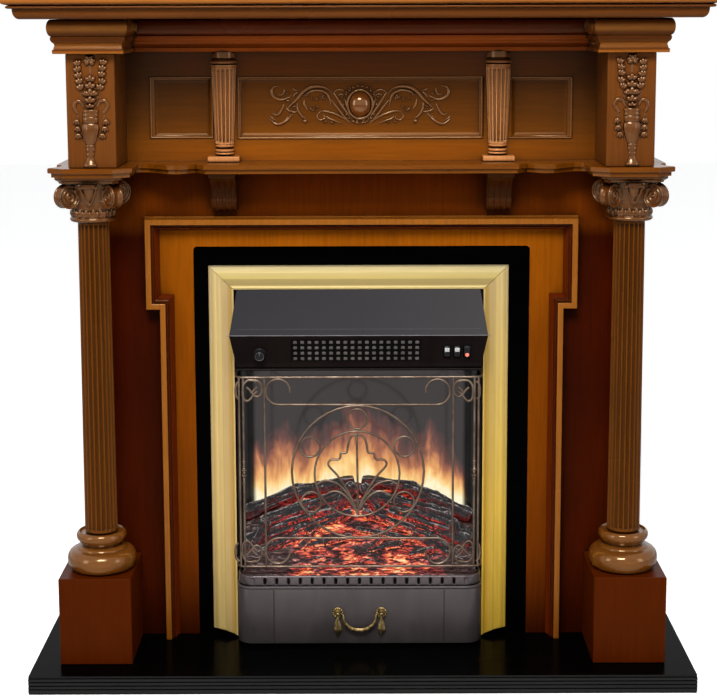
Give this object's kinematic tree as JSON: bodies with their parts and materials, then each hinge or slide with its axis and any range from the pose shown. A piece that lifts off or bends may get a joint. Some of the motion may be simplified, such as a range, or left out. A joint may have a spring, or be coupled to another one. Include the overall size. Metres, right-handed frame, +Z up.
{
  "type": "electric fireplace suite",
  "caption": "Classical column mantel on a hearth slab with an inset electric fire: brass trim, hood with controls, wire screen over a fuel bed, and a cover with a bail handle.",
  "frame": {"origin": "middle of the footprint, on the floor", "axes": "+Z up, the front faces -Y, +X to the right as seen from the front"},
  "size_m": [1.056, 0.37, 1.09],
  "materials": {
    "walnut": "gloss lacquer",
    "carved_walnut": "gloss lacquer over carving",
    "dark_walnut": "satin lacquer",
    "black_board": "black gloss lacquer",
    "brass": "brushed",
    "old_brass": "antique",
    "black_steel": "satin black",
    "bronze_wire": "dark bronze",
    "galvanised_steel": "galvanised",
    "black_plastic": "matt",
    "grey_plastic": "satin",
    "red_lens": "clear gloss",
    "ember_resin": "painted resin",
    "flame_glass": "smoked",
    "circuit_board": "matt"
  },
  "bodies": {
    "suite": {"architrave": "walnut", "back_rail": "dark_walnut", "bed_tray": "galvanised_steel", "cable_gland": "black_plastic", "capital_left": "carved_walnut", "capital_right": "carved_walnut", "centre_applique": "carved_walnut", "column_base_left": "walnut", "column_base_right": "walnut", "column_shaft_left": "walnut", "column_shaft_right": "walnut", "corbel_left": "walnut", "corbel_right": "walnut", "cornice_block_left": "walnut", "cornice_block_right": "walnut", "cornice_centre": "walnut", "ember_bed": "ember_resin", "fan_motor": "black_steel", "firebox_case": "black_steel", "flame_screen": "flame_glass", "flicker_motor": "black_steel", "fret_band": "black_steel", "frieze_panel": "walnut", "front_panel": "walnut", "half_column_left": "walnut", "half_column_right": "walnut", "hearth_slab": "black_board", "heater_element": "galvanised_steel", "heater_tray": "galvanised_steel", "hood": "black_steel", "infill_panel": "black_board", "lamp_board": "circuit_board", "mantel_top": "walnut", "mid_shelf": "walnut", "outlet_grille": "black_steel", "pedestal_left": "walnut", "pedestal_right": "walnut", "side_panel_left": "dark_walnut", "side_panel_right": "dark_walnut", "trim_left": "brass", "trim_right": "brass", "trim_top": "brass", "upper_box_left": "walnut", "upper_box_right": "walnut", "upper_side_left": "dark_walnut", "upper_side_right": "dark_walnut", "urn_applique_left": "carved_walnut", "urn_applique_right": "carved_walnut"},
    "cover": {"ash_cover": "black_steel", "handle_rosette_left": "old_brass", "handle_rosette_right": "old_brass"},
    "bail": {"handle_bail": "old_brass"},
    "screen": {"wrought_screen": "bronze_wire"},
    "knob": {"thermostat_knob": "black_plastic"},
    "switch_1": {"rocker_1": "grey_plastic"},
    "switch_2": {"rocker_2": "grey_plastic"},
    "switch_3": {"rocker_3": "red_lens"},
    "fan": {"fan_rotor": "galvanised_steel"},
    "flicker": {"flicker_spindle": "galvanised_steel"}
  },
  "joints": [
    {"name": "cover_pull", "type": "slide", "parent": "suite", "child": "cover", "axis": [0, -1, 0], "range_m": [0, 0.1]},
    {"name": "bail_swing", "type": "hinge", "parent": "cover", "child": "bail", "pos_m": [-0.005, -0.0377, 0.0885], "axis": [-1, 0, 0], "range_deg": [-6, 100]},
    {"name": "screen_lift_off", "type": "slide", "parent": "suite", "child": "screen", "axis": [0, -1, 0], "range_m": [0, 0.1]},
    {"name": "thermostat_turn", "type": "hinge", "parent": "suite", "child": "knob", "pos_m": [-0.163, -0.036, 0.5238], "axis": [0, -0.9527, -0.304], "range_deg": [0, 270]},
    {"name": "fan_spin", "type": "hinge", "parent": "suite", "child": "fan", "pos_m": [-0.005, 0.075, 0.5325], "axis": [1, 0, 0], "continuous": true},
    {"name": "flicker_spin", "type": "hinge", "parent": "suite", "child": "flicker", "pos_m": [-0.005, 0.113, 0.2001], "axis": [1, 0, 0], "continuous": true},
    {"name": "switch_1_rock", "type": "hinge", "parent": "suite", "child": "switch_1", "pos_m": [0.136, -0.0363, 0.52474], "axis": [1, 0, 0], "range_deg": [0, 8]},
    {"name": "switch_2_rock", "type": "hinge", "parent": "suite", "child": "switch_2", "pos_m": [0.152, -0.0363, 0.52474], "axis": [1, 0, 0], "range_deg": [0, 8]},
    {"name": "switch_3_rock", "type": "hinge", "parent": "suite", "child": "switch_3", "pos_m": [0.168, -0.0363, 0.52474], "axis": [1, 0, 0], "range_deg": [0, 8]}
  ]
}
